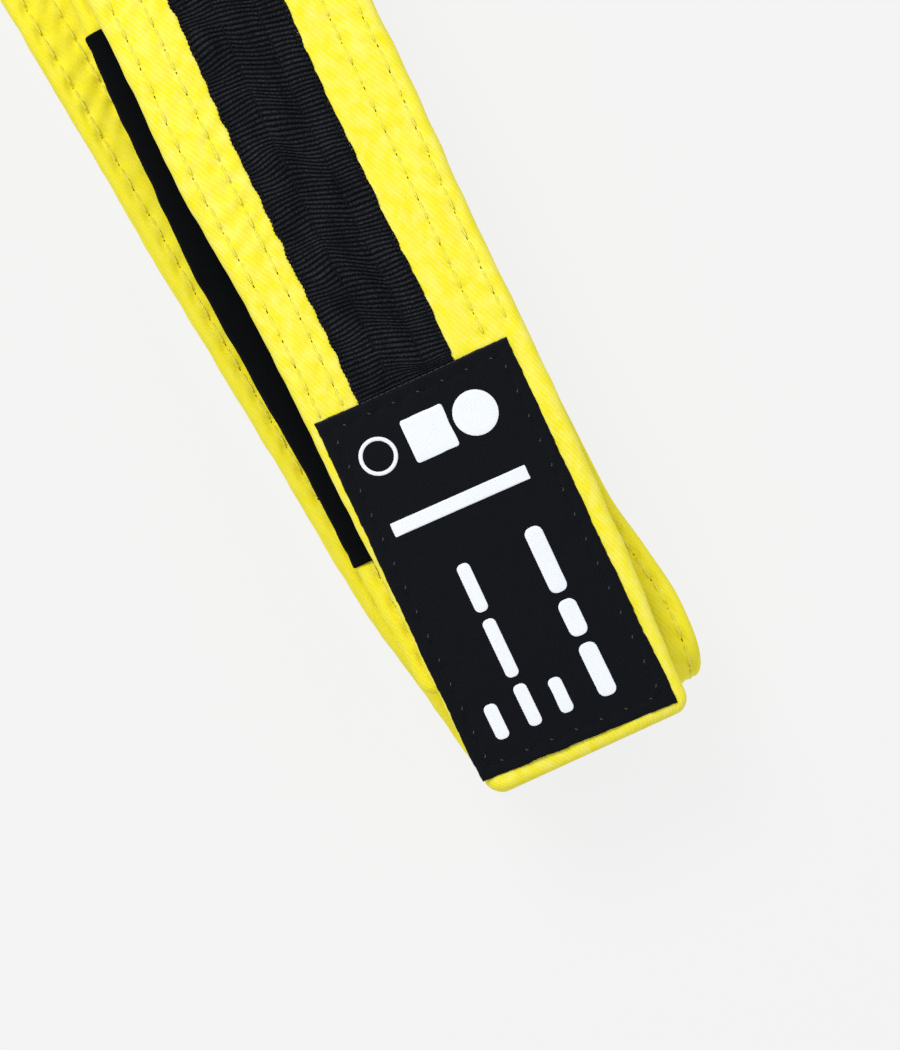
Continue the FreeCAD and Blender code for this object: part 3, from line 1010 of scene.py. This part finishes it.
def add_print(shape, down, sideways, outline):
    """A filled raised patch whose outline is given round its middle."""
    shares = np.array([1.03, 1.0, 0.96, 0.75, 0.5, 0.25])[:, None]
    rises = np.array([-0.12, 0.5, 1.0, 1.0, 1.0, 1.0])[:, None] * print_rise
    out_down, out_side = outline
    reach = np.hypot(out_down, out_side)
    inset = np.where(shares > 0.9, (1 - shares) * 4.0 / np.maximum(reach, 1.0), 1 - shares)
    ring_down = down + out_down * (1 - inset)
    ring_side = sideways + out_side * (1 - inset)
    points = label_place(ring_down, ring_side, rises)
    centre = label_place(np.array([down]), np.array([sideways]), print_rise)
    rings, count = points.shape[:2]
    textures = np.concatenate([pair(ring_down, ring_side).reshape(-1, 2), [[down, sideways]]])
    triangles = fan_faces((rings - 1) * count + np.arange(count), rings * count)
    all_points = np.concatenate([points.reshape(-1, 3), centre])
    shape.add(all_points, textures, grid_faces(rings, count), triangles)


def add_ring_print(shape, down, sideways, radius, line):
    outer_down, outer_side = outline_disc(1.0)
    radii = np.array([radius + 0.04, radius, radius - line, radius - line - 0.04])[:, None]
    rises = np.array([-0.12, 1.0, 1.0, -0.12])[:, None] * print_rise
    ring_down = down + outer_down * radii
    ring_side = sideways + outer_side * radii
    points = label_place(ring_down, ring_side, rises)
    shape.add(points, pair(ring_down, ring_side), grid_faces(*points.shape[:2]))


def label_print():
    mark_down = 9.2
    shape = Shape()
    add_ring_print(shape, mark_down, -10.1, 3.2, 0.6)
    add_print(shape, mark_down, -0.9, outline_bar(7.4, 7.4, 0.5))
    add_print(shape, mark_down, 7.4, outline_disc(3.7))
    add_print(shape, 21.4, -1.0, outline_bar(2.4, 24.0, 0.15))
    rows = [(-11.0, 54.0, [6.0], 2.2), (-5.2, 31.0, [8.4, 10.2, 7.2], 2.2)]
    rows += [(0.4, 54.0, [6.0], 2.2), (7.7, 30.0, [11.4, 6.2, 9.2], 3.0)]
    for sideways, start, lengths, width in rows:
        for length in lengths:
            add_print(shape, start + length / 2, sideways, outline_bar(length, width, width * 0.4))
            start += length + 1.6
    return shape


# The rank bar, a sleeve round the rank strand
bar_middle = station(2, middle("rank_bar")[0])
bar_start = bar_middle - rank_bar_length / 2
bar_end = bar_middle + rank_bar_length / 2
bar_wall = 0.4
bar_face = (high("rank_bar")[2] - low("rank_bar")[2]) / 2
bar_half_width = half_width + bar_face - ribbon_face
bar_rows = (bar_start + 2.5, bar_end - 2.5)
bar_roll = 0.45  # of its ends


def bar_relief(along, across):
    relief = 0.09 * mottle(along, across, 13.0, 71) + 0.03 * mottle(along, across, 4.0, 72)
    for row in bar_rows:
        relief = relief - 0.14 * hump(along - row, 0.7)
    return 0.8 * relief


def bar_shape():
    face_steps = np.arange(0, half_width, 1.1)
    across, through, girth = stadium_ring(2 * bar_half_width, 2 * bar_face, 11, face_steps)
    ends = np.array([0.0, 0.06, 0.18, 0.35, 0.6, 1.0])
    between = np.arange(bar_start + 1.6, bar_end - 1.5, 0.7)
    rings = np.concatenate([bar_start + ends, between, bar_end - ends[::-1]])
    outer = rings[:, None]
    inner = rings[::-12][:, None]
    along = np.concatenate([outer, inner])
    from_end = np.clip(np.minimum(outer - bar_start, bar_end - outer), 0, bar_roll)
    roll = 0.32 * (1 - np.sqrt(1 - (1 - from_end / bar_roll) ** 2))
    inner_growth = np.full((len(inner), len(across)), -bar_wall)
    growth = np.concatenate([bar_relief(outer, across) - roll, inner_growth])
    radial_across = np.where(np.abs(through) > bar_face * 0.999, 0.0, np.sign(across))
    radial_through = np.sign(through) * (np.abs(through) / bar_face)
    moved = across + growth * radial_across + edge_wobble(along, across)
    risen = through + growth * radial_through
    shape = Shape()
    shape.add(place(along, moved, risen), pair(along, girth), grid_faces(*moved.shape, closed=True))
    return shape


def cross_rows(places, surface):
    """Rows of stitches straight across both faces.  surface gives their height."""
    shape = Shape()
    across = np.arange(-cross_row_length / 2 + cross_pitch / 2, cross_row_length / 2, cross_pitch)
    for place_along in places:
        along = np.full(across.shape, place_along)
        for face in (FRONT, BACK):
            through = face * surface(along, across, face)
            add_beads(shape, along, across, through, (cross_pitch * 0.7, 0.4, 0.26), 0, math.pi / 2)
    return shape


def bar_surface(along, across, _):
    return bar_face + bar_relief(along, across) - 0.03


def tip_surface(along, across, face):
    return cover_face + cover_relief(along, across, face) - 0.04


# The pieces


def finish_piece(shape, name, slots, node):
    piece = shape.build(name, *[finishes[slot] for slot in slots])
    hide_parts(*node)
    return piece


def build_section(section, start, end):
    flat = (belt_width, end - start)
    parts = [("twill", cover_shape(start, end), ["yellow_twill"], ["cover", "core"], flat)]
    for face, word in ((FRONT, "front"), (BACK, "back")):
        flat = (ribbon_width, min(end, rank_hem) - max(start, sewn_from(face)))
        shape = ribbon_shape(start, end, face)
        parts.append((word + "_grosgrain", shape, ["black_ribbon"], [word + "_ribbon"], flat))
    slots = ["yellow_thread", "painted_hole_shade"]
    parts.append(("cover_stitches", cover_stitches(start, end), slots, ["cover_stitching"], None))
    shape = ribbon_stitches(start, end)
    parts.append(("ribbon_stitches", shape, ["black_thread"], ["ribbon_stitching"], None))
    for word, shape, slots, nodes, flat in parts:
        nodes = [section + "_" + node for node in nodes]
        attach(finish_piece(shape, section + "_" + word, slots, nodes), section)


for section, start, end in sections:
    build_section(section, start, end)

label_threads = ["black_thread", "painted_glint"]
bar_sewing = cross_rows(bar_rows, bar_surface)
tip_sewing = cross_rows([strap_length - tip_hem / 2], tip_surface)
label_pieces = [
    finish_piece(label_shape(), "label_cloth", ["label_satin"], ["label"]),
    finish_piece(label_stitches(), "label_stitches", label_threads, ["label_stitching"]),
    finish_piece(label_print(), "label_marks", ["print_white"], ["label_print"]),
]
rank_pieces = [
    finish_piece(bar_shape(), "rank_bar_sleeve", ["rank_bar_cotton"], ["rank_bar"]),
    finish_piece(bar_sewing, "rank_bar_stitches", ["black_thread"], ["rank_bar_stitching"]),
    finish_piece(tip_sewing, "rank_tip_stitches", ["yellow_thread"], ["rank_tip_stitching"]),
]
for piece in label_pieces:
    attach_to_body(piece, "label_end")
for piece in rank_pieces:
    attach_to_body(piece, "loose_ends")


# Floor, light and camera


def pale_floor():
    cloth = Cloth("pale_floor", 0.9, 0.0)
    glow = {"Emission Color": (1.0, 1.0, 1.0, 1.0), "Emission Strength": 0.83}
    cloth.fill(cloth.shader, {"Base Color": (0.07, 0.07, 0.07, 1.0), **glow})
    return cloth.material


def add_floor():
    bpy.ops.mesh.primitive_plane_add(size=6.0, location=(0, 0, -0.0005))
    floor = bpy.context.object
    floor.name = "floor"
    floor.data.materials.append(pale_floor())


def add_light(name, direction, distance, size, power):
    lamp = bpy.data.lights.new(name, "AREA")
    lamp.shape = "DISK"
    lamp.size = size
    lamp.energy = power
    light = bpy.data.objects.new(name, lamp)
    bpy.context.scene.collection.objects.link(light)
    towards = Vector(direction).normalized()
    light.location = picture_middle + towards * distance
    light.rotation_euler = towards.to_track_quat("Z", "Y").to_euler()


# The picture looks down on the label end, with the strap leaning to the upper left.
picture_height = 0.1721
camera_distance = 0.9
camera_tilt = 5.0
picture_turn = 26.5  # of the strap's length from the picture's upright
picture_middle = Vector((tip_x - 44.3, strap_y - 5.9, top_height)) * MM


def add_camera():
    scene = bpy.context.scene
    data = bpy.data.cameras.new("camera")
    data.sensor_fit = "VERTICAL"
    data.sensor_height = 36.0
    data.lens = 36.0 * camera_distance / picture_height
    camera = bpy.data.objects.new("camera", data)
    scene.collection.objects.link(camera)
    turn = math.radians(picture_turn)
    upward = Vector((-math.cos(turn), math.sin(turn), 0))
    tilt = math.radians(camera_tilt)
    backward = Vector((0, -math.sin(tilt), math.cos(tilt)))
    rightward = upward.cross(backward).normalized()
    upward = backward.cross(rightward)
    turned = Matrix((rightward, upward, backward)).transposed().to_4x4()
    camera.matrix_world = Matrix.Translation(picture_middle + backward * camera_distance) @ turned
    scene.camera = camera


def set_world():
    world = bpy.data.worlds.new("studio")
    world.use_nodes = True
    background = world.node_tree.nodes["Background"]
    background.inputs["Color"].default_value = (1.0, 1.0, 1.0, 1.0)
    background.inputs["Strength"].default_value = 0.55
    bpy.context.scene.world = world


add_floor()
set_world()
add_light("key", (-0.75, -0.25, 1.0), 1.1, 0.5, 7.5)
add_light("fill", (0.6, 0.6, 1.0), 1.3, 0.9, 1.5)
add_camera()
bpy.context.scene.view_settings.view_transform = "Standard"
